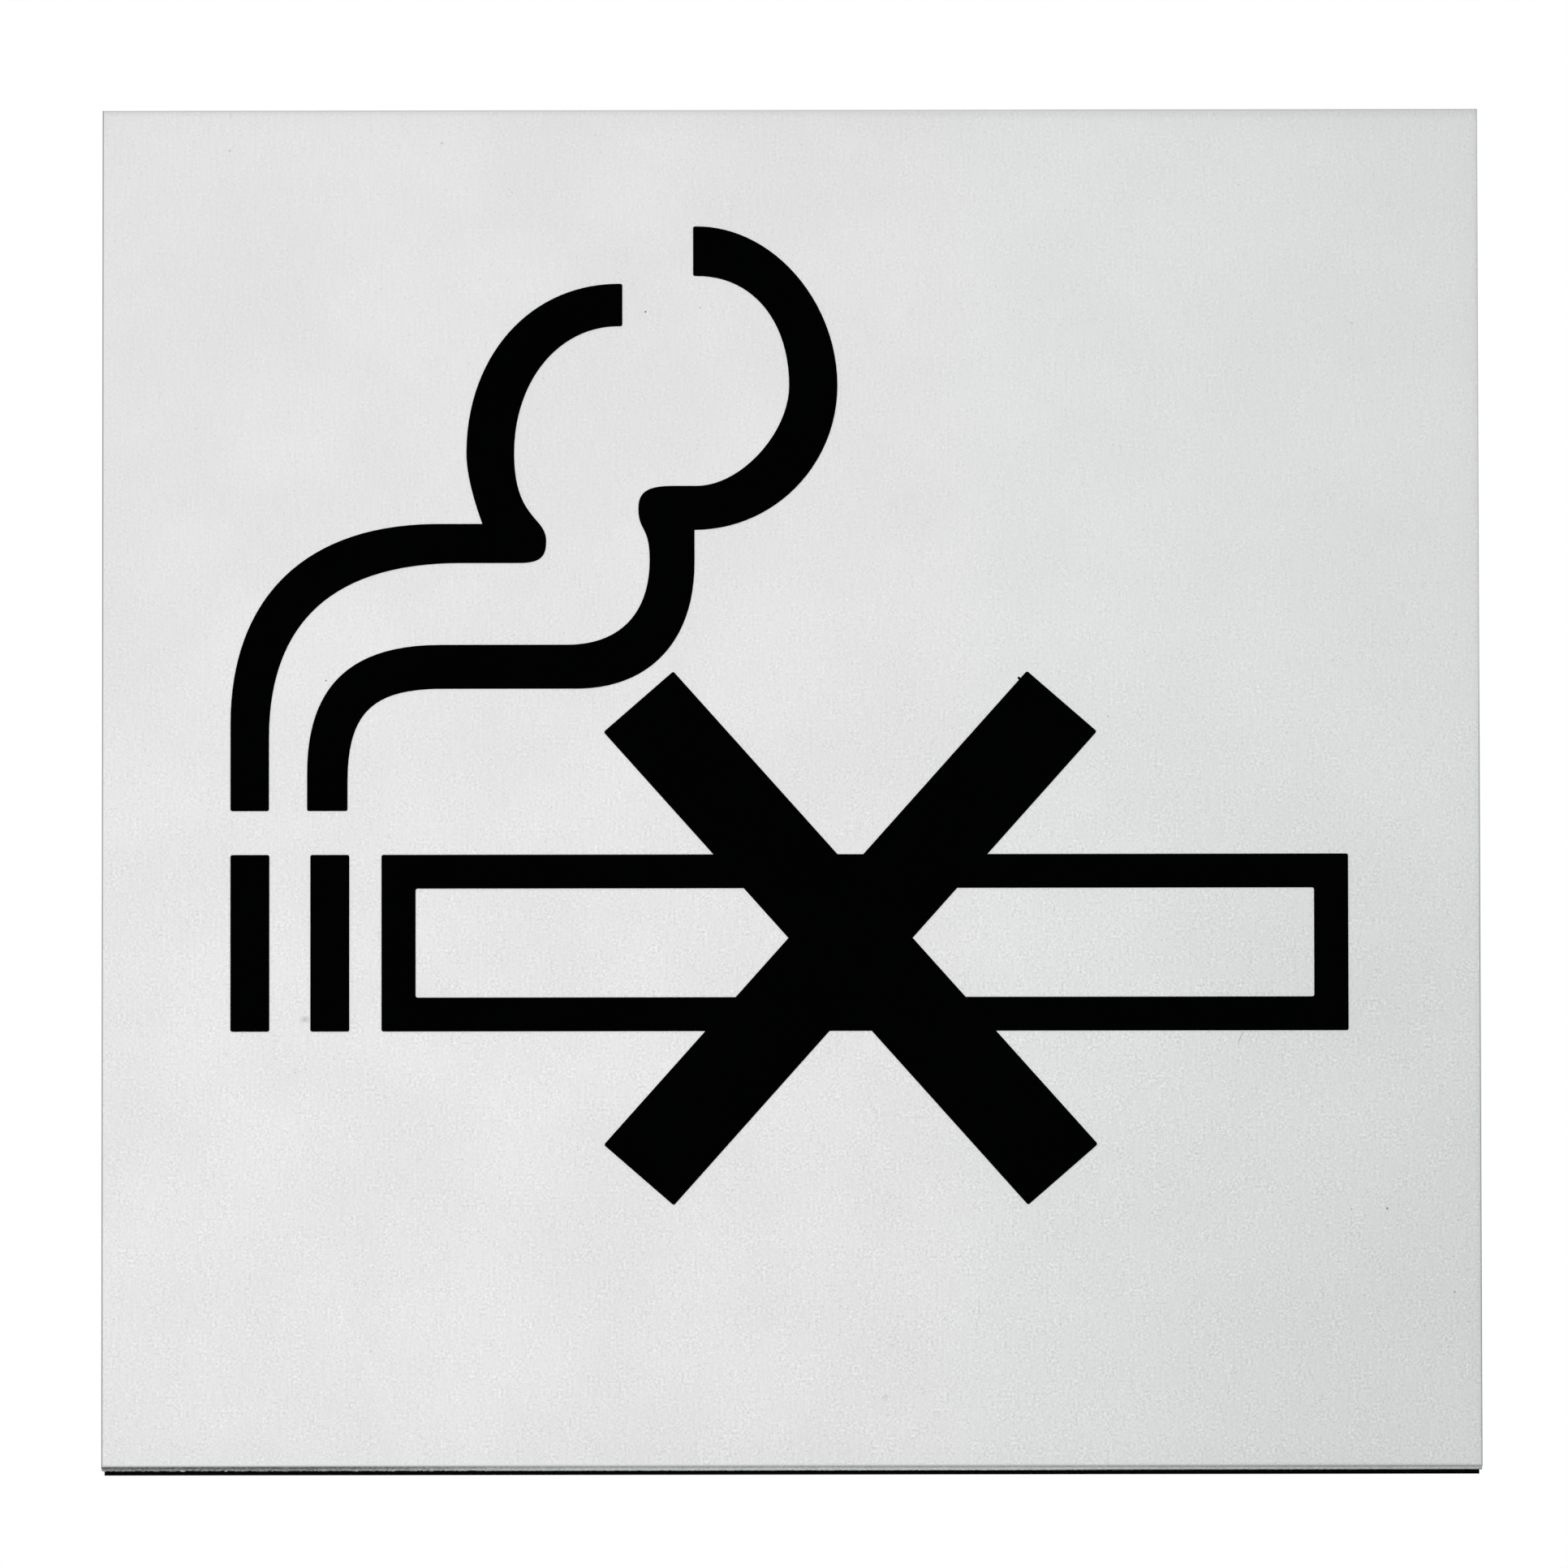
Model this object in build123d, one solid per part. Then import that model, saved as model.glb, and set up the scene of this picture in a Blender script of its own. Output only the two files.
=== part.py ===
from build123d import *
import os

# Square no smoking sign for a door or a wall. The units are millimetres, +Z is up
# and the front looks along -Y. The origin is the centre of the pad's back face,
# which lies on the wall.

# Plate: sheet metal cut square, its front edges rolled over a little by the shear
plate_width = 100.0
plate_height = 100.0
plate_thickness = 2.0
plate_rolled_edge = 0.05

# Pad: black foam with glue on both faces, cut a little smaller than the plate
pad_thickness = 2.0
pad_side_inset = 0.18
pad_end_inset = 0.02

# Film: the thin black cut film that makes the picture
film_thickness = 0.08
film_corner = 0.15

# Cigarette: an open outline, placed from the plate's centre
cigarette_length = 70.13
cigarette_height = 13.0
cigarette_line = 2.48
cigarette_right_of_centre = 5.35
cigarette_below_centre = 11.53

# Ember: two bars as high as the cigarette, beyond its left end
ember_bar_width = 2.83
ember_bar_gap = 2.97
ember_to_cigarette = 2.33

# Cross: two square-ended bars over the cigarette, the angle in degrees from level
cross_bar_length = 46.48
cross_bar_width = 6.75
cross_angle = 48.6
cross_left_of_cigarette = 1.04
cross_above_cigarette = 0.34

# Smoke: both lines start this far above the ember and run level before their ends
smoke_gap = 3.25
smoke_end_straight = 0.30

# Left smoke line: its stem, and the bend that turns it level
left_stem_width = 2.80
left_stem_outer = 6.41
left_stem_inner = 5.38
left_bend_rise = 14.75
left_bend_outer_run = 15.02
left_bend_inner_run = 13.87
left_bend_outer_fullness = 0.636
left_bend_inner_fullness = 0.665

# Left smoke line: the level stretch, its notch above and its nose at the right
left_level_thickness = 2.88
left_level_to_notch = 3.27
left_nose_reach = 4.64
left_nose_height = 1.59
left_nose_run = 1.97
left_nose_fullness = 0.747
left_neck_pull_down = 4.93
left_neck_pull_up = 1.86

# Left smoke line: the puff, from the notch up to its square end
left_puff_lean = 1.16
left_puff_lean_pull = 3.26
left_puff_back = 5.22
left_puff_waist = 3.47
left_puff_rise = 12.52
left_puff_run = 11.04
left_puff_end = 3.13
left_puff_outer_fullness = 0.578
left_puff_inner_fullness = 0.572

# Right smoke line: its stem, and the bend that turns it level
right_stem_offset = 0.24
right_stem_width = 2.94
right_stem_outer = 2.75
right_stem_inner = 2.11
right_bend_rise = 9.48
right_bend_outer_run = 9.64
right_bend_inner_run = 6.87
right_bend_outer_fullness = 0.678
right_bend_inner_fullness = 0.743

# Right smoke line: the level stretch, and the bend that turns it up again
right_level_thickness = 3.23
right_level_outer = 9.26
right_level_inner = 9.78
right_climb_outer_run = 5.98
right_climb_inner_run = 8.55
right_climb_outer_rise = 6.27
right_climb_inner_rise = 9.28
right_climb_outer_fullness = 0.635
right_climb_inner_fullness = 0.620

# Right smoke line: the neck that leans left, its nose, and the notch at its right
right_notch_rise = 2.43
right_nose_lean = 0.82
right_nose_rise = 3.79
right_nose_run = 2.44
right_nose_top = 1.66
right_nose_fullness = 0.727
right_neck_pull_up = 2.57
right_neck_pull_down = 1.71

# Right smoke line: the round puff, from the notch round to its square end
right_puff_floor = 1.81
right_puff_outer_run = 10.40
right_puff_outer_rise = 10.67
right_puff_side = 3.51
right_puff_top_rise = 11.76
right_puff_top_run = 10.18
right_puff_end = 3.66
right_puff_low_outer_fullness = 0.554
right_puff_low_inner_fullness = 0.474
right_puff_top_outer_fullness = 0.533
right_puff_top_inner_fullness = 0.596

# Places that follow from the sizes, as distances right of and above the plate's centre
plate_front = pad_thickness + plate_thickness
cigarette_left = cigarette_right_of_centre - cigarette_length / 2
cigarette_top = cigarette_height / 2 - cigarette_below_centre
right_ember_left = cigarette_left - ember_to_cigarette - ember_bar_width
left_ember_left = right_ember_left - ember_bar_gap - ember_bar_width
smoke_foot = cigarette_top + smoke_gap


def upright_slab(outline, start, thickness):
    """Solid of an upright outline, from start in front of the wall to start + thickness."""
    return extrude(Plane.XZ.offset(start) * outline, thickness)


def up_then_level(start, end, fullness):
    """Quarter turn that leaves start upright and arrives at end level."""
    corner = Vector(start.X, end.Y)
    return Bezier(start, start + (corner - start) * fullness, end + (corner - end) * fullness, end)


def level_then_up(start, end, fullness):
    """Quarter turn that leaves start level and arrives at end upright."""
    return up_then_level(end, start, fullness)


def neck(low, high, pull_up, pull_down):
    """S-shaped side, upright at both ends."""
    return Bezier(low, low + Vector(0, pull_up), high - Vector(0, pull_down), high)


def film_piece(outline, square_corners=()):
    """Cut film on the plate's front, with the knife's small radius at the corners named."""
    film = upright_slab(outline, plate_front, film_thickness)
    if not square_corners:
        return film
    cut_edges = film.edges().filter_by(Axis.Y)
    corners = [cut_edges.sort_by_distance(Vector(c.X, -plate_front, c.Y))[0] for c in square_corners]
    return fillet(corners, film_corner)


def make_plate():
    """The metal sheet, its four front edges rounded over."""
    plate = upright_slab(Rectangle(plate_width, plate_height), pad_thickness, plate_thickness)
    front = plate.faces().sort_by(Axis.Y)[0]
    return fillet(front.edges(), plate_rolled_edge)


def make_pad():
    """The foam behind the plate."""
    width = plate_width - 2 * pad_side_inset
    height = plate_height - 2 * pad_end_inset
    return upright_slab(Rectangle(width, height), 0, pad_thickness)


def make_ember_bar(left):
    """One upright bar of the ember, its left side at left."""
    bar = RectangleRounded(ember_bar_width, cigarette_height, film_corner)
    return film_piece(Pos(left + ember_bar_width / 2, -cigarette_below_centre) * bar)


def make_cigarette_cross():
    """The cigarette's open outline and the cross over it, cut as one piece of film."""
    outside = RectangleRounded(cigarette_length, cigarette_height, film_corner)
    inside_length = cigarette_length - 2 * cigarette_line
    inside_height = cigarette_height - 2 * cigarette_line
    inside = RectangleRounded(inside_length, inside_height, film_corner)
    bar = RectangleRounded(cross_bar_length, cross_bar_width, film_corner)
    cross = Rot(0, 0, cross_angle) * bar + Rot(0, 0, -cross_angle) * bar
    cross = Pos(-cross_left_of_cigarette, cross_above_cigarette) * cross
    place = Pos(cigarette_right_of_centre, -cigarette_below_centre)
    return film_piece(place * (outside - inside + cross))


def make_left_smoke():
    """The smoke line over the left ember bar: up, right, back over a notch and up to the right."""
    foot_left = Vector(left_ember_left, smoke_foot)
    foot_right = foot_left + Vector(left_stem_width, 0)
    outer_start = foot_left + Vector(0, left_stem_outer)
    outer_end = outer_start + Vector(left_bend_outer_run, left_bend_rise)
    notch = outer_end + Vector(left_level_to_notch, 0)
    inner_start = foot_right + Vector(0, left_stem_inner)
    inner_end = Vector(inner_start.X + left_bend_inner_run, outer_end.Y - left_level_thickness)
    nose = Vector(notch.X + left_nose_reach, inner_end.Y + left_nose_height)
    nose_under = Vector(nose.X - left_nose_run, inner_end.Y)
    back = notch + Vector(-left_puff_lean, left_puff_back)
    waist = back + Vector(left_puff_waist, 0)
    puff_top = back + Vector(left_puff_run, left_puff_rise)
    puff_under = puff_top - Vector(0, left_puff_end)
    end_top = puff_top + Vector(smoke_end_straight, 0)
    end_low = puff_under + Vector(smoke_end_straight, 0)
    outline = [
        Line(foot_left, outer_start),
        up_then_level(outer_start, outer_end, left_bend_outer_fullness),
        Line(outer_end, notch),
        Bezier(notch, Vector(back.X, notch.Y + left_puff_lean_pull), back),
        up_then_level(back, puff_top, left_puff_outer_fullness),
        Line(puff_top, end_top),
        Line(end_top, end_low),
        Line(end_low, puff_under),
        up_then_level(waist, puff_under, left_puff_inner_fullness),
        neck(nose, waist, left_neck_pull_up, left_neck_pull_down),
        up_then_level(nose, nose_under, left_nose_fullness),
        Line(nose_under, inner_end),
        up_then_level(inner_start, inner_end, left_bend_inner_fullness),
        Line(inner_start, foot_right),
        Line(foot_right, foot_left),
    ]
    return film_piece(make_face(outline), [foot_left, foot_right, end_top, end_low])


def make_right_smoke():
    """The smoke line over the right ember bar: up, right, up, and round into a hooked puff."""
    foot_left = Vector(right_ember_left - right_stem_offset, smoke_foot)
    foot_right = foot_left + Vector(right_stem_width, 0)
    outer_start = foot_left + Vector(0, right_stem_outer)
    outer_end = outer_start + Vector(right_bend_outer_run, right_bend_rise)
    inner_start = foot_right + Vector(0, right_stem_inner)
    inner_end = Vector(inner_start.X + right_bend_inner_run, outer_end.Y - right_level_thickness)
    climb_outer = outer_end + Vector(right_level_outer, 0)
    climb_inner = inner_end + Vector(right_level_inner, 0)
    neck_left = climb_outer + Vector(right_climb_outer_run, right_climb_outer_rise)
    neck_right = climb_inner + Vector(right_climb_inner_run, right_climb_inner_rise)
    notch = neck_right + Vector(0, right_notch_rise)
    nose = neck_left + Vector(-right_nose_lean, right_nose_rise)
    nose_over = nose + Vector(right_nose_run, right_nose_top)
    puff_floor = nose_over + Vector(right_puff_floor, 0)
    side_outer = notch + Vector(right_puff_outer_run, right_puff_outer_rise)
    side_inner = side_outer - Vector(right_puff_side, 0)
    puff_top = side_outer + Vector(-right_puff_top_run, right_puff_top_rise)
    puff_under = puff_top - Vector(0, right_puff_end)
    end_top = puff_top - Vector(smoke_end_straight, 0)
    end_low = puff_under - Vector(smoke_end_straight, 0)
    outline = [
        Line(foot_left, outer_start),
        up_then_level(outer_start, outer_end, right_bend_outer_fullness),
        Line(outer_end, climb_outer),
        level_then_up(climb_outer, neck_left, right_climb_outer_fullness),
        neck(neck_left, nose, right_neck_pull_up, right_neck_pull_down),
        up_then_level(nose, nose_over, right_nose_fullness),
        Line(nose_over, puff_floor),
        level_then_up(puff_floor, side_inner, right_puff_low_inner_fullness),
        up_then_level(side_inner, puff_under, right_puff_top_inner_fullness),
        Line(puff_under, end_low),
        Line(end_low, end_top),
        Line(end_top, puff_top),
        up_then_level(side_outer, puff_top, right_puff_top_outer_fullness),
        level_then_up(notch, side_outer, right_puff_low_outer_fullness),
        Line(notch, neck_right),
        level_then_up(climb_inner, neck_right, right_climb_inner_fullness),
        Line(climb_inner, inner_end),
        up_then_level(inner_start, inner_end, right_bend_inner_fullness),
        Line(inner_start, foot_right),
        Line(foot_right, foot_left),
    ]
    return film_piece(make_face(outline), [foot_left, foot_right, end_top, end_low])


pieces = {
    "face_plate": make_plate(),
    "backing_pad": make_pad(),
    "cigarette_cross": make_cigarette_cross(),
    "left_ember_bar": make_ember_bar(left_ember_left),
    "right_ember_bar": make_ember_bar(right_ember_left),
    "left_smoke_line": make_left_smoke(),
    "right_smoke_line": make_right_smoke(),
}

os.makedirs("parts", exist_ok=True)
for name, piece in pieces.items():
    export_step(piece, "parts/" + name + ".step")
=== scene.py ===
import math

import bmesh
import bpy
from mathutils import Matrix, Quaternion, Vector


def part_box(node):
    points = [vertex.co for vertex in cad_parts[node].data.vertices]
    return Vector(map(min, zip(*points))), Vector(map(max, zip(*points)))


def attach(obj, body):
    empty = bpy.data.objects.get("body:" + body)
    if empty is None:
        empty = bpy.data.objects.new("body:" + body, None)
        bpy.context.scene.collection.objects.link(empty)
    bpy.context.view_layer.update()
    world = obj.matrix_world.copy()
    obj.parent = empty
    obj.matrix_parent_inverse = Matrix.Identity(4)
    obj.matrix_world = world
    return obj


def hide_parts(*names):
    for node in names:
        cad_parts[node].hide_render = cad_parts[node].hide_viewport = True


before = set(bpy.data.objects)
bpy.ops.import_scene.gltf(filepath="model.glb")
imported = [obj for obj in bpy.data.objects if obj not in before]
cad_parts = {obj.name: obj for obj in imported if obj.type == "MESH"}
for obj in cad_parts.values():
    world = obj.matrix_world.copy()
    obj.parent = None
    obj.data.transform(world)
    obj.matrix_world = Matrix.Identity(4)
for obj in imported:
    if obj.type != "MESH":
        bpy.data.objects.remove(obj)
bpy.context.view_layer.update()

# A square metal no smoking sign, upright, its front towards -Y. Sizes are in metres.
MM = 0.001

plate_low, plate_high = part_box("face_plate")
pad_low, pad_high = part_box("backing_pad")

PLATE_FRONT = plate_low.y
PLATE_BACK = plate_high.y
PLATE_THICKNESS = PLATE_BACK - PLATE_FRONT
PAD_THICKNESS = pad_high.y - pad_low.y
HALF_WIDTH = plate_high.x
HALF_HEIGHT = plate_high.z
FILM_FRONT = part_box("cigarette_cross")[0].y

# The pieces of cut film, which keep their solids
FILM_PIECES = (
    "cigarette_cross",
    "left_ember_bar",
    "right_ember_bar",
    "left_smoke_line",
    "right_smoke_line",
)

# A broad face has a narrow rim, which fans out to the many points of the cut sides
RIM = 0.10 * MM
# An edge that is shorter than this isn't divided again
LONG_EDGE = 3 * MM
# Points this close together count as one place
SAME_PLACE = 1e-6
# How much of its normal lies along an axis that a face looks along, roughly and squarely
FACING = 0.9
SQUARELY = 0.9999

# The plate's front edge, rolled over by the shear
ROLLED_EDGE = 0.05 * MM
ROLLED_EDGE_STEPS = 4
# The face's finish goes round it, up to where the metal looks forward by this share
FACE_FINISH_ENDS = 0.1
# Its cut sides: burnished over this share from the front, then rows of broken metal
BURNISHED_SHARE = 0.42
BROKEN_ROWS = 5
BROKEN_DEPTH = 0.05 * MM
BROKEN_GRAIN = 0.28 * MM
BROKEN_LEVEL = 0.75
# The last row holds the burr: how far right it reaches, how far its points stray, and their seed
BURR_ROW = 0.06 * MM
BURRS = (
    (HALF_WIDTH, 0.010 * MM, 3),
    (-0.44 * HALF_WIDTH, 0.028 * MM, 5),
)
# Cuts along each side, pass by pass
PLATE_CUTS = (24, 29)
# A point is on a cut side past this share of the way out, on the plate and on the pad
PLATE_SIDE = 0.9985
PAD_SIDE = 0.99999

# The foam pad's cut sides: a hollow waist, and pores that reach nearly to the front and the back
FOAM_ROWS = 9
FOAM_CUTS = (24, 19)
FOAM_WAIST = 0.07 * MM
PORE_DEPTH = 0.06 * MM
PORE_SIZE = 0.30 * MM
PORE_LEVEL = 0.8
PORE_CONTRAST = 1.8
PORE_REACH = 1.6

# A shred left on the edge of the cut film, near the tip of the cross's right arm
SHRED_TIP = Vector((16.555 * MM, PLATE_FRONT, 7.965 * MM))
SHRED_RADIUS = 0.085 * MM
SHRED_POINTS = 20
SHRED_LENGTH = 0.30 * MM
SHRED_LEAN = math.radians(48.6)
SHRED_BELOW_FILM = 0.008 * MM
SHRED_ROUNDING = 0.02 * MM
SHRED_ROUNDING_STEPS = 3

# The face is a neutral silver that turns a trace cooler over its right third
NEUTRAL_SILVER = (0.556, 0.5555, 0.558, 1)
COOL_SILVER = (0.551, 0.560, 0.5575, 1)
# The rolled edge's shade is painted on the face as a thin dark line
EDGE_SHADE_WIDTH = 0.12 * MM

# The metal of the cut sides; the burnished band's dark tone is painted shade, and the torn lip's
# tone is a painted highlight
BURNISHED_METAL_SHADE = (0.385, 0.390, 0.395)
BROKEN_METAL = (0.610, 0.617, 0.622)
TORN_LIP_HIGHLIGHT = (0.34, 0.35, 0.355, 1)

# The blacks
FILM_BLACK = (0.0004, 0.0005, 0.0006)
FOAM_BLACK = (0.0011, 0.0011, 0.0012)
GLUE_BLACK = (0.012, 0.012, 0.013)

# Specks and smudges on the face: across, up, radius, how much darker
SPOTS = (
    (-10.51 * MM, 35.06 * MM, 0.080 * MM, 0.93),
    (43.16 * MM, -31.15 * MM, 0.110 * MM, 0.64),
    (40.58 * MM, -31.20 * MM, 0.075 * MM, 0.55),
    (48.03 * MM, -37.30 * MM, 0.085 * MM, 0.60),
    (49.06 * MM, -39.51 * MM, 0.090 * MM, 0.30),
    (23.01 * MM, 5.13 * MM, 0.075 * MM, 0.45),
    (-33.74 * MM, 7.84 * MM, 0.085 * MM, 0.66),
    (-6.55 * MM, 35.36 * MM, 0.085 * MM, 0.36),
    (32.63 * MM, 44.39 * MM, 0.080 * MM, 0.32),
    (40.83 * MM, 34.16 * MM, 0.110 * MM, 0.26),
    (-40.76 * MM, 47.04 * MM, 0.110 * MM, 0.28),
    (-25.33 * MM, 47.57 * MM, 0.110 * MM, 0.28),
    (-35.16 * MM, -17.13 * MM, 0.300 * MM, 0.19),
    (-35.42 * MM, -17.15 * MM, 0.300 * MM, 0.12),
    (6.74 * MM, -45.01 * MM, 0.280 * MM, 0.11),
)
# Painted shade, in slow faint patches towards the face's right and its corners: across, up, radius,
# how much darker
PAINTED_SHADE_PATCHES = (
    (50.0 * MM, -50.0 * MM, 46.0 * MM, 0.028),
    (50.0 * MM, -50.0 * MM, 26.0 * MM, 0.026),
    (50.0 * MM, -32.0 * MM, 12.0 * MM, 0.020),
    (50.0 * MM, -16.0 * MM, 12.0 * MM, 0.020),
    (50.0 * MM, 14.0 * MM, 14.0 * MM, 0.018),
    (50.0 * MM, 50.0 * MM, 24.0 * MM, 0.012),
    (37.0 * MM, -12.0 * MM, 13.0 * MM, 0.026),
)
# A short hair and a tick: across, lean, bend, lowest, highest, half width, how much darker
STROKES = (
    (32.41 * MM, 0.22, 240.0, -19.03 * MM, -18.13 * MM, 0.050 * MM, 0.34),
    (-40.70 * MM, 0.0, 0.0, 49.38 * MM, 49.82 * MM, 0.045 * MM, 0.22),
)
# A mark is full from its middle to the first share of its size, and gone at the second
SPOT_FADE = (0.4, 1.1)
STROKE_FADE = (0.4, 1.2)

# The camera, from a little below the sign and a long way off
CAMERA_DISTANCE = 3.5
CAMERA_BELOW = math.radians(10.2)
CAMERA_ROLL = math.radians(-0.085)
CAMERA_AIM = Vector((-0.50 * MM, PLATE_FRONT, 0.16 * MM))
CAMERA_SEES_TO = 20
FIELD_AT_SIGN = 113.8 * MM
SENSOR_WIDTH = 36.0

# The lamps, which aim at the sign's middle: name, place, width, power
LAMPS = (
    ("key", (-0.040, -0.337, 0.012), 0.08, 0.051),
    ("upper", (-0.023, -0.60, 0.161), 0.15, 0.209),
)
LAMP_COLOUR = (1.0, 0.985, 0.985)
SOFT_LIGHT = (0.98, 1.0, 0.99, 1)
SOFT_STRENGTH = 0.9
WHITE = (1, 1, 1, 1)

# The floor, well below the sign
FLOOR_BELOW = 0.8
FLOOR_SIZE = 12.0
FLOOR_TONE = (0.92, 0.92, 0.92)
FLOOR_CLOUDS = 0.4


def deselect_all():
    """Leaves edit mode with nothing selected."""
    if bpy.context.object and bpy.context.object.mode != "OBJECT":
        bpy.ops.object.mode_set(mode="OBJECT")
    bpy.ops.object.select_all(action="DESELECT")


def pick(piece):
    """Makes the piece the active one, and the only one selected."""
    deselect_all()
    piece.select_set(True)
    bpy.context.view_layer.objects.active = piece


def add_block(name, low, high):
    """A box from its lowest to its highest corner, its place kept in its mesh."""
    deselect_all()
    bpy.ops.mesh.primitive_cube_add(size=1, location=(low + high) / 2)
    block = bpy.context.object
    block.name = name
    block.scale = high - low
    bpy.ops.object.transform_apply(location=True, rotation=False, scale=True)
    return block


def edit(piece):
    """Opens the piece in edit mode, nothing selected, and returns its mesh."""
    pick(piece)
    bpy.ops.object.mode_set(mode="EDIT")
    bpy.ops.mesh.select_all(action="DESELECT")
    return bmesh.from_edit_mesh(piece.data)


def select(piece, kind, wanted):
    """Opens the piece in edit mode with its wanted points, edges or faces selected."""
    mesh = edit(piece)
    bpy.ops.mesh.select_mode(type=kind)
    parts = {"VERT": mesh.verts, "EDGE": mesh.edges, "FACE": mesh.faces}
    for part in parts[kind]:
        part.select_set(wanted(part))
    bmesh.update_edit_mesh(piece.data)


def at_depth(edge, depth):
    """Whether both ends of an edge lie at one distance along Y."""
    return all(abs(v.co.y - depth) < SAME_PLACE for v in edge.verts)


def broad(face):
    """Whether a face is the front or the back, inside its rim."""
    return abs(face.normal.y) > FACING and face.calc_area() > HALF_WIDTH * HALF_HEIGHT


def lengthwise(edge):
    """Whether an edge runs along a side, outside the broad faces, and is still long."""
    along = sorted(abs(a - b) for a, b in zip(edge.verts[0].co, edge.verts[1].co))
    straight = along[1] < SAME_PLACE and along[2] > LONG_EDGE
    return straight and not any(broad(f) for f in edge.link_faces)


def far_out(point, half_width, half_height, share):
    """Whether a point is past a share of the way to the left, right, top or bottom."""
    return max(abs(point.x) / half_width, abs(point.z) / half_height) > share


def slice_across(piece, depths):
    """Cuts the piece by upright planes, one at each distance along Y."""
    for depth in depths:
        edit(piece)
        bpy.ops.mesh.select_all(action="SELECT")
        bpy.ops.mesh.bisect(plane_co=(0, depth, 0), plane_no=(0, 1, 0))


def divide_sides(piece, passes):
    """Divides the sides along their length, while the broad faces stay whole."""
    for cuts in passes:
        select(piece, "EDGE", lengthwise)
        bpy.ops.mesh.subdivide(number_cuts=cuts)
    bpy.ops.object.mode_set(mode="OBJECT")


def cloudy(name, grain, contrast=1.0):
    """A cloudy pattern for displacing points."""
    pattern = bpy.data.textures.new(name, "CLOUDS")
    pattern.noise_scale = grain
    pattern.noise_depth = 3
    pattern.contrast = contrast
    return pattern


def displace(piece, weights, name, depth, level=0.0, pattern=None):
    """Moves the weighted points out, all alike or by how far a pattern is above the level."""
    group = piece.vertex_groups.new(name=name)
    for point in piece.data.vertices:
        weight = weights(point.co)
        if weight > 0:
            group.add([point.index], min(weight, 1.0), "REPLACE")
    change = piece.modifiers.new(name, "DISPLACE")
    change.vertex_group = name
    change.strength = depth
    change.mid_level = level
    if pattern:
        change.texture = pattern
        change.texture_coords = "LOCAL"
    pick(piece)
    bpy.ops.object.modifier_apply(modifier=name)


def stray(piece, wanted, reach, seed):
    """Moves each wanted point its own way, by up to reach."""
    select(piece, "VERT", lambda v: wanted(v.co))
    bpy.ops.transform.vertex_random(offset=reach, uniform=1.0, normal=0.0, seed=seed)
    bpy.ops.object.mode_set(mode="OBJECT")


def smooth(piece, degrees):
    """Shades the piece smooth, with edges kept where it turns by more than an angle."""
    pick(piece)
    bpy.ops.object.shade_smooth_by_angle(angle=math.radians(degrees))


def two_finishes(piece, first, second, takes_second):
    """Gives the piece two materials, the second one on the faces whose normal asks for it."""
    piece.data.materials.append(first)
    piece.data.materials.append(second)
    for polygon in piece.data.polygons:
        polygon.material_index = int(takes_second(polygon.normal))


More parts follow.
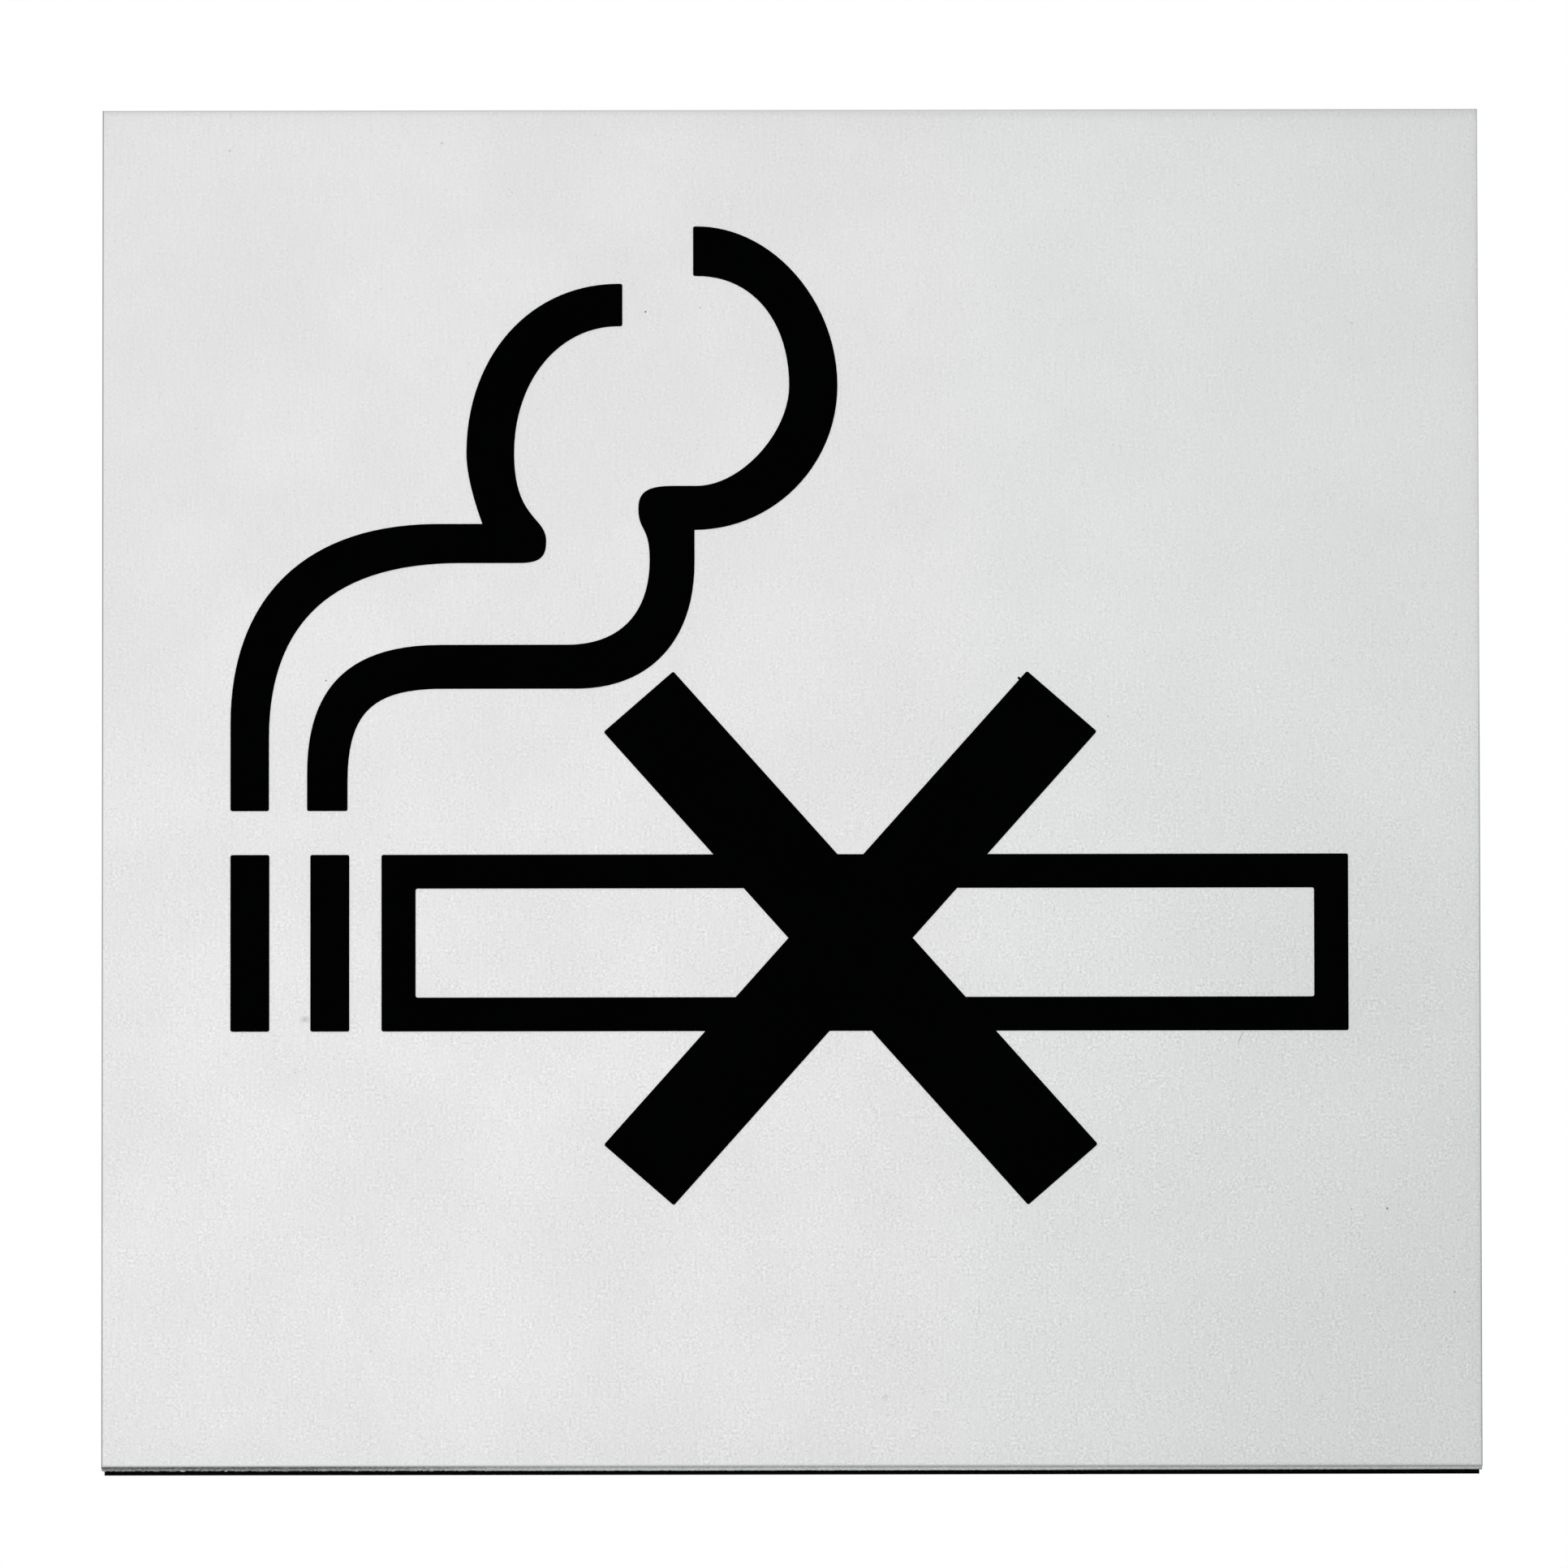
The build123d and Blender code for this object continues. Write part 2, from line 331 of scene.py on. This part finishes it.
class Nodes:
    """Short calls for one material's nodes. Their values are numbers or other nodes' outputs."""

    def __init__(self, name):
        self.material = bpy.data.materials.new(name)
        self.material.use_nodes = True
        self.tree = self.material.node_tree
        self.shader = self.tree.nodes["Principled BSDF"]
        self.place = self.add("ShaderNodeTexCoord").outputs["Object"]

    def add(self, kind, **settings):
        node = self.tree.nodes.new(kind)
        for name, value in settings.items():
            setattr(node, name, value)
        return node

    def join(self, value, socket):
        """Links an output to a socket, or sets the socket's own value."""
        if isinstance(value, bpy.types.NodeSocket):
            self.tree.links.new(value, socket)
        else:
            socket.default_value = value

    def axes(self):
        node = self.add("ShaderNodeSeparateXYZ")
        self.join(self.place, node.inputs[0])
        return node.outputs["X"], node.outputs["Y"], node.outputs["Z"]

    def math(self, operation, a, b=0.0):
        node = self.add("ShaderNodeMath", operation=operation)
        self.join(a, node.inputs[0])
        self.join(b, node.inputs[1])
        return node.outputs[0]

    def plus(self, a, b):
        return self.math("ADD", a, b)

    def minus(self, a, b):
        return self.math("SUBTRACT", a, b)

    def over(self, a, b):
        return self.math("DIVIDE", a, b)

    def larger(self, a, b):
        return self.math("MAXIMUM", a, b)

    def smaller(self, a, b):
        return self.math("MINIMUM", a, b)

    def absolute(self, value):
        return self.math("ABSOLUTE", value)

    def times(self, product, *factors):
        for factor in factors:
            product = self.math("MULTIPLY", product, factor)
        return product

    def spread(self, value, amount):
        """A factor about 1 that follows value, which lies about a half."""
        return self.plus(self.times(self.minus(value, 0.5), amount), 1.0)

    def ramp(self, value, start_end, low_high):
        """Goes softly from low to high, or down again, as value goes from start to end."""
        node = self.add("ShaderNodeMapRange", interpolation_type="SMOOTHSTEP")
        self.join(value, node.inputs["Value"])
        node.inputs["From Min"].default_value = start_end[0]
        node.inputs["From Max"].default_value = start_end[1]
        node.inputs["To Min"].default_value = low_high[0]
        node.inputs["To Max"].default_value = low_high[1]
        return node.outputs["Result"]

    def away_from(self, point):
        node = self.add("ShaderNodeVectorMath", operation="DISTANCE")
        self.join(self.place, node.inputs[0])
        self.join(point, node.inputs[1])
        return node.outputs["Value"]

    def stretched(self, stretch):
        node = self.add("ShaderNodeVectorMath", operation="MULTIPLY")
        self.join(self.place, node.inputs[0])
        self.join(stretch, node.inputs[1])
        return node.outputs["Vector"]

    def noise(self, size, detail=2.0, roughness=0.5, stretch=None):
        """Noise whose features are about size wide, and longer along an axis of small stretch."""
        node = self.add("ShaderNodeTexNoise")
        self.join(self.stretched(stretch) if stretch else self.place, node.inputs["Vector"])
        node.inputs["Scale"].default_value = 1 / size
        node.inputs["Detail"].default_value = detail
        node.inputs["Roughness"].default_value = roughness
        return node.outputs["Fac"]

    def cells(self, size):
        """How far a point is from the middle of its cell, in cells that are about size wide."""
        node = self.add("ShaderNodeTexVoronoi")
        self.join(self.place, node.inputs["Vector"])
        node.inputs["Scale"].default_value = 1 / size
        return node.outputs["Distance"]

    def shade(self, colour, factor):
        """The colour times a factor."""
        node = self.add("ShaderNodeVectorMath", operation="SCALE")
        self.join(colour, node.inputs[0])
        self.join(factor, node.inputs["Scale"])
        return node.outputs[0]

    def mix(self, factor, a, b):
        """Colour a, turning into colour b as the factor goes from 0 to 1."""
        node = self.add("ShaderNodeMix", data_type="RGBA")
        self.join(factor, node.inputs["Factor"])
        self.join(a, node.inputs[6])
        self.join(b, node.inputs[7])
        return node.outputs[2]

    def bump(self, height, distance, strength):
        node = self.add("ShaderNodeBump")
        self.join(height, node.inputs["Height"])
        node.inputs["Distance"].default_value = distance
        node.inputs["Strength"].default_value = strength
        self.join(node.outputs[0], self.shader.inputs["Normal"])

    def surface(self, colour, rough, metal=0.0, gloss=0.5):
        """Sets the shader's colour, roughness, metal share and specular level."""
        self.join(colour, self.shader.inputs["Base Color"])
        self.join(rough, self.shader.inputs["Roughness"])
        self.join(metal, self.shader.inputs["Metallic"])
        self.join(gloss, self.shader.inputs["Specular IOR Level"])


def satin_face():
    """Silver anodised sheet: a fine grain, a few pits painted dark as shade, upright streaks and
    slow clouds, with painted shade at its rim, its rolled edge and in slow patches.
    """
    n = Nodes("satin_face")
    x, _, z = n.axes()
    grain = n.noise(0.19 * MM, detail=1)
    streaks = n.noise(0.20 * MM, detail=1, stretch=(1, 1, 0.10))
    patches = n.noise(1.3 * MM, detail=1)
    # Each pit's dark dot is painted shade
    pit_shade = n.ramp(n.cells(0.9 * MM), (0.03, 0.11), (0.86, 1.0))
    clouds = n.noise(9 * MM, detail=2)

    # The grain and the streaks are strongest in the lower part, and the grain comes in patches
    upwards = (-20 * MM, 30 * MM)
    rightwards = (-0.6 * HALF_WIDTH, 0.6 * HALF_WIDTH)
    grain_depth = n.times(
        n.ramp(patches, (0.3, 0.7), (0.45, 1.55)),
        n.ramp(z, upwards, (0.98, 0.50)),
        n.ramp(x, rightwards, (0.38, 0.47)),
    )
    streak_depth = n.ramp(z, upwards, (0.10, 0.08))
    # The factor holds painted shade too: the pits, the rim, the rolled edge's line and the slow
    # patches
    factor = n.times(
        n.spread(grain, grain_depth),
        n.spread(streaks, streak_depth),
        pit_shade,
        n.spread(clouds, 0.02),
        painted_rim_shade(n, x, z),
        painted_edge_line_shade(n, x, z),
        marks_and_painted_shade(n, x, z),
    )
    cooler = n.ramp(x, (0.1 * HALF_WIDTH, 0.45 * HALF_WIDTH), (0.0, 1.0))
    silver = n.mix(cooler, NEUTRAL_SILVER, COOL_SILVER)
    n.surface(n.shade(silver, factor), rough=n.ramp(clouds, (0.3, 0.7), (0.39, 0.41)), metal=0.6)
    n.bump(n.plus(grain, n.times(streaks, 0.5)), 0.006 * MM, 0.5)
    return n.material


def painted_rim_shade(n, x, z):
    """Painted shade: a trace darker inside the right, top and bottom edges, most in bands along the
    first two.
    """
    from_right = n.minus(HALF_WIDTH, x)
    from_top = n.minus(HALF_HEIGHT, z)
    from_either_end = n.minus(HALF_HEIGHT, n.absolute(z))
    rim = n.ramp(n.smaller(from_right, from_either_end), (0.0, 2.5 * MM), (0.985, 1.0))
    right_band = n.ramp(from_right, (0.1 * MM, 0.6 * MM), (0.955, 1.0))
    top_width = n.ramp(x, (-10 * MM, 20 * MM), (0.55 * MM, 0.90 * MM))
    top_band = n.ramp(n.over(from_top, top_width), (0.11, 1.0), (0.905, 1.0))
    return n.times(rim, right_band, top_band)


def painted_edge_line_shade(n, x, z):
    """The rolled edge's dark line, painted shade: plain on the left and lower right, faint at the
    top right.
    """
    left = n.ramp(x, (-HALF_WIDTH, EDGE_SHADE_WIDTH - HALF_WIDTH), (0.33, 1.0))
    right = n.ramp(x, (HALF_WIDTH - EDGE_SHADE_WIDTH, HALF_WIDTH), (1.0, 0.47))
    right = n.larger(right, n.ramp(z, (-5 * MM, 10 * MM), (0.0, 1.0)))
    top = n.ramp(z, (HALF_HEIGHT - EDGE_SHADE_WIDTH, HALF_HEIGHT), (1.0, 0.80))
    top = n.larger(top, n.ramp(x, (15 * MM, 35 * MM), (1.0, 0.0)))
    return n.times(left, right, top)


def marks_and_painted_shade(n, x, z):
    """All the marks and the painted shade patches together, each a soft dark place on the face."""
    marks = []
    # The specks are dirt; the slow patches are painted shade
    for across, up, radius, dark in SPOTS + PAINTED_SHADE_PATCHES:
        away = n.away_from((across, PLATE_FRONT, up))
        marks.append(mark(n, away, radius, SPOT_FADE, dark))
    for across, lean, bend, low, high, half_width, dark in STROKES:
        rise = n.minus(z, low)
        drift = n.times(rise, n.plus(n.times(rise, bend), lean))
        beside = n.absolute(n.minus(n.minus(x, across), drift))
        past_end = n.minus(n.absolute(n.minus(z, (low + high) / 2)), (high - low) / 2)
        away = n.larger(beside, n.plus(past_end, half_width))
        marks.append(mark(n, away, half_width, STROKE_FADE, dark))
    return n.times(*marks)


def mark(n, away, size, fade, dark):
    """A factor that is darkest in the middle of a mark or a painted shade patch, and 1 away from
    it.
    """
    return n.ramp(away, (fade[0] * size, fade[1] * size), (1 - dark, 1.0))


def sheared_edge():
    """The cut side: a burnished band in front, dark by painted shade, a rough lighter broken band,
    a torn lip with a painted highlight, and painted shade at the left, the right and the back.
    """
    n = Nodes("sheared_edge")
    x, y, _ = n.axes()
    left = n.ramp(x, (-0.85 * HALF_WIDTH, -0.15 * HALF_WIDTH), (1.0, 0.0))
    right = n.ramp(x, (0.2 * HALF_WIDTH, 0.9 * HALF_WIDTH), (0.0, 1.0))
    depth = n.over(n.minus(y, PLATE_FRONT), PLATE_THICKNESS)
    wobble = n.noise(1.1 * MM, detail=3, roughness=0.65, stretch=(1, 0.3, 1))
    drawn = n.noise(0.22 * MM, detail=1, stretch=(1, 0.45, 1))
    torn = n.noise(0.15 * MM, detail=2, roughness=0.6, stretch=(1, 0.25, 1))
    fine = n.noise(0.11 * MM, detail=3, roughness=0.7)

    # The metal breaks along a wavy line, which lies further back at the left
    wavy_depth = n.plus(depth, n.times(n.minus(wobble, 0.5), 0.55))
    line = n.minus(wavy_depth, n.times(left, 0.13))
    broken = n.ramp(line, (BURNISHED_SHARE - 0.14, BURNISHED_SHARE + 0.20), (0.0, 1.0))

    # Both bands are more deeply scored at the left, and painted darker as shade at the left and a
    # little at the right
    dark = n.times(n.ramp(left, (0.0, 1.0), (1.0, 0.36)), n.ramp(right, (0.0, 1.0), (1.0, 0.84)))
    bite = n.ramp(left, (0.0, 1.0), (1.0, 3.0))
    scored = n.larger(n.spread(drawn, bite), 0.1)
    pitted = n.larger(n.spread(torn, bite), 0.1)

    # Towards the right the broken band is painted darker to its back, as shade
    back_shade = n.larger(n.ramp(depth, (0.72, 0.96), (1.0, 0.30)), n.ramp(right, (0.0, 0.6), (1.0, 0.0)))
    # The burnished band's dark colour is painted shade
    burnished_band = n.shade(BURNISHED_METAL_SHADE, n.times(scored, dark))
    broken_band = n.shade(BROKEN_METAL, n.times(pitted, back_shade, n.math("POWER", dark, 0.78)))
    colour = n.mix(broken, burnished_band, broken_band)

    # At the left the torn lip behind gets a painted highlight, where it catches some light
    lip_highlight = n.times(n.ramp(depth, (0.88, 0.96), (0.0, 0.85)), n.ramp(torn, (0.46, 0.62), (0.0, 1.0)))
    colour = n.mix(n.times(lip_highlight, left), colour, TORN_LIP_HIGHLIGHT)
    metal = n.ramp(left, (0.0, 1.0), (0.40, 0.08))
    n.surface(colour, rough=n.ramp(broken, (0.0, 1.0), (0.40, 0.62)), metal=metal, gloss=0.0)
    n.bump(n.plus(n.times(fine, broken), n.times(drawn, 0.5)), 0.03 * MM, 0.7)
    return n.material


def cut_film():
    """Dead matt black film with a trace of blue."""
    n = Nodes("cut_film")
    grain = n.noise(0.10 * MM, detail=3, roughness=0.6)
    clouds = n.noise(6 * MM, detail=2)
    colour = n.shade(FILM_BLACK, n.times(n.spread(grain, 0.8), n.spread(clouds, 0.5)))
    n.surface(colour, rough=n.ramp(grain, (0.2, 0.8), (0.62, 0.8)), gloss=0.004)
    n.bump(grain, 0.006 * MM, 0.5)
    return n.material


def black_foam():
    """Closed-cell foam: cut cell walls a trace lighter than the pits between them, which are
    painted darker as shade.
    """
    n = Nodes("black_foam")
    pores = n.cells(0.26 * MM)
    fine = n.noise(0.09 * MM, detail=3, roughness=0.7)
    # The pits are painted darker as shade
    walls_and_pit_shade = n.times(n.ramp(pores, (0.15, 0.75), (0.15, 2.4)), n.spread(fine, 1.2))
    n.surface(n.shade(FOAM_BLACK, walls_and_pit_shade), rough=0.9, gloss=0.0)
    n.bump(n.plus(n.times(fine, 0.5), pores), 0.05 * MM, 0.8)
    return n.material


def glue_skin():
    """The tacky glue on the pad's back: black with a dull shine over a pebbled, wavy skin, the
    hollows between the pebbles painted darker as shade.
    """
    n = Nodes("glue_skin")
    pebbles = n.cells(0.75 * MM)
    fine = n.noise(0.14 * MM, detail=3)
    waves = n.noise(6 * MM, detail=2)
    clouds = n.noise(15 * MM, detail=3)
    tack = n.ramp(clouds, (0.38, 0.62), (0.0, 1.0))
    # Random cloudy tone, with the pebbles' hollows painted darker as shade
    tone_and_pebble_shade = n.times(n.spread(clouds, 0.9), n.ramp(pebbles, (0.1, 0.7), (1.5, 0.6)))
    n.surface(n.shade(GLUE_BLACK, tone_and_pebble_shade), rough=n.ramp(tack, (0.0, 1.0), (0.33, 0.52)), gloss=0.22)
    height = n.plus(n.times(pebbles, -0.5), n.times(fine, 0.3))
    n.bump(n.plus(height, n.times(waves, 2.2)), 0.08 * MM, 0.8)
    return n.material


def make_plate(face, edge):
    """The metal sheet: rolled front edges, a burnished and a broken band, a burr at the back."""
    plate = add_block("plate", plate_low, plate_high)
    select(plate, "FACE", lambda f: f.normal.y > FACING)
    bpy.ops.mesh.inset(thickness=RIM)
    select(plate, "EDGE", lambda e: at_depth(e, PLATE_FRONT))
    bpy.ops.mesh.bevel(offset=ROLLED_EDGE, segments=ROLLED_EDGE_STEPS)
    select(plate, "FACE", lambda f: f.normal.y < -SQUARELY)
    bpy.ops.mesh.inset(thickness=RIM)
    first_break = PLATE_FRONT + BURNISHED_SHARE * PLATE_THICKNESS
    last_break = PLATE_BACK - BURR_ROW
    row = (last_break - first_break) / BROKEN_ROWS
    slice_across(plate, [first_break + k * row for k in range(BROKEN_ROWS + 1)])
    divide_sides(plate, PLATE_CUTS)

    def on_side(p):
        return far_out(p, HALF_WIDTH, HALF_HEIGHT, PLATE_SIDE)

    def broken(p):
        return 1.0 if on_side(p) and p.y > first_break + 0.5 * row else 0.0

    ragged = cloudy("ragged", BROKEN_GRAIN)
    displace(plate, broken, "broken_band", BROKEN_DEPTH, BROKEN_LEVEL, ragged)
    for reaches_to, reach, seed in BURRS:

        def torn(p, reaches_to=reaches_to):
            return on_side(p) and p.x < reaches_to and p.y > PLATE_BACK - 0.5 * BURR_ROW

        stray(plate, torn, reach, seed)
    two_finishes(plate, face, edge, lambda normal: normal.y >= -FACE_FINISH_ENDS)
    smooth(plate, degrees=40)
    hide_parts("face_plate")
    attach(plate, "root")


def make_pad(foam, glue):
    """The foam pad: pores on its cut sides, which the knife left a little hollow."""
    pad = add_block("foam_pad", pad_low, pad_high)
    select(pad, "FACE", lambda f: abs(f.normal.y) > FACING)
    bpy.ops.mesh.inset(thickness=RIM)
    slice_across(pad, [pad_low.y + PAD_THICKNESS * k / FOAM_ROWS for k in range(1, FOAM_ROWS)])
    divide_sides(pad, FOAM_CUTS)

    def hollow(p):
        """Nothing at the front and the back of the sides, and most halfway between."""
        if not far_out(p, pad_high.x, pad_high.z, PAD_SIDE):
            return 0.0
        return math.sin(math.pi * (p.y - pad_low.y) / PAD_THICKNESS)

    displace(pad, hollow, "waist", -FOAM_WAIST)
    pores = cloudy("pores", PORE_SIZE, PORE_CONTRAST)
    displace(pad, lambda p: PORE_REACH * hollow(p), "pores", PORE_DEPTH, PORE_LEVEL, pores)
    two_finishes(pad, foam, glue, lambda normal: normal.y > FACING)
    smooth(pad, degrees=50)
    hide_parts("backing_pad")
    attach(pad, "root")


def make_shred(film):
    """A rounded shred of film that stands out from the edge of the cross."""
    thickness = PLATE_FRONT - (FILM_FRONT + SHRED_BELOW_FILM)
    deselect_all()
    bpy.ops.mesh.primitive_circle_add(vertices=SHRED_POINTS, radius=SHRED_RADIUS, fill_type="NGON")
    shred = bpy.context.object
    shred.name = "film_shred"
    select(shred, "VERT", lambda v: v.co.y < SAME_PLACE)
    bpy.ops.transform.translate(value=(0, -SHRED_LENGTH, 0))
    bpy.ops.mesh.select_all(action="SELECT")
    bpy.ops.mesh.extrude_region_move(TRANSFORM_OT_translate={"value": (0, 0, thickness)})
    bpy.ops.mesh.select_all(action="SELECT")
    bpy.ops.mesh.normals_make_consistent(inside=False)
    select(shred, "FACE", lambda f: f.normal.z > FACING)
    bpy.ops.mesh.bevel(offset=SHRED_ROUNDING, segments=SHRED_ROUNDING_STEPS)
    bpy.ops.object.mode_set(mode="OBJECT")
    quarter_turn = math.radians(90)
    shred.rotation_euler = (quarter_turn, SHRED_LEAN - quarter_turn, 0)
    shred.location = SHRED_TIP
    bpy.ops.object.transform_apply(location=True, rotation=True, scale=True)
    smooth(shred, degrees=40)
    shred.data.materials.append(film)
    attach(shred, "root")


def dress_film(film):
    """The pieces of cut film keep their solids and get the matt black."""
    for name in FILM_PIECES:
        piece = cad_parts[name]
        piece.data.materials.clear()
        piece.data.materials.append(film)


def make_floor():
    """A plain pale floor."""
    deselect_all()
    bpy.ops.mesh.primitive_plane_add(size=FLOOR_SIZE, location=(0, 0, -FLOOR_BELOW))
    floor = bpy.context.object
    floor.name = "floor"
    n = Nodes("pale_floor")
    clouds = n.noise(FLOOR_CLOUDS, detail=2)
    n.surface(n.shade(FLOOR_TONE, n.spread(clouds, 0.03)), rough=0.8)
    floor.data.materials.append(n.material)


def make_lamp(name, place, width, power):
    """A soft round lamp that the camera doesn't see."""
    light = bpy.data.lights.new(name, "AREA")
    light.shape = "DISK"
    light.size = width
    light.energy = power
    light.color = LAMP_COLOUR
    lamp = bpy.data.objects.new(name, light)
    bpy.context.scene.collection.objects.link(lamp)
    lamp.location = place
    lamp.rotation_mode = "QUATERNION"
    lamp.rotation_quaternion = (-Vector(place)).to_track_quat("-Z", "Y")
    lamp.visible_camera = False


def make_world():
    """White to the camera, in reflections and through glass, and a soft even light elsewhere."""
    world = bpy.data.worlds.new("soft_studio")
    bpy.context.scene.world = world
    world.use_nodes = True
    tree = world.node_tree
    soft = tree.nodes["Background"]
    soft.inputs["Color"].default_value = SOFT_LIGHT
    soft.inputs["Strength"].default_value = SOFT_STRENGTH
    white = tree.nodes.new("ShaderNodeBackground")
    white.inputs["Color"].default_value = WHITE
    white.inputs["Strength"].default_value = 1.0
    rays = tree.nodes.new("ShaderNodeLightPath")
    sees_white = rays.outputs["Is Camera Ray"]
    for kind in ("Is Glossy Ray", "Is Transmission Ray"):
        either = tree.nodes.new("ShaderNodeMath")
        either.operation = "MAXIMUM"
        tree.links.new(sees_white, either.inputs[0])
        tree.links.new(rays.outputs[kind], either.inputs[1])
        sees_white = either.outputs[0]
    blend = tree.nodes.new("ShaderNodeMixShader")
    tree.links.new(sees_white, blend.inputs["Fac"])
    tree.links.new(soft.outputs[0], blend.inputs[1])
    tree.links.new(white.outputs[0], blend.inputs[2])
    tree.links.new(blend.outputs[0], tree.nodes["World Output"].inputs["Surface"])


def make_camera():
    """The photograph's view: square on, from a little below, through a long lens."""
    away = Vector((0, -math.cos(CAMERA_BELOW), -math.sin(CAMERA_BELOW)))
    data = bpy.data.cameras.new("camera")
    data.sensor_width = SENSOR_WIDTH
    data.lens = SENSOR_WIDTH * CAMERA_DISTANCE / FIELD_AT_SIGN
    data.clip_end = CAMERA_SEES_TO
    camera = bpy.data.objects.new("camera", data)
    bpy.context.scene.collection.objects.link(camera)
    camera.location = CAMERA_AIM + away * CAMERA_DISTANCE
    camera.rotation_mode = "QUATERNION"
    roll = Quaternion((0, 0, 1), CAMERA_ROLL)
    camera.rotation_quaternion = (-away).to_track_quat("-Z", "Y") @ roll
    bpy.context.scene.camera = camera


make_camera()
make_world()
make_floor()
for name, place, width, power in LAMPS:
    make_lamp(name, place, width, power)
film = cut_film()
make_plate(satin_face(), sheared_edge())
make_pad(black_foam(), glue_skin())
make_shred(film)
dress_film(film)

bpy.context.scene.view_settings.view_transform = "Standard"
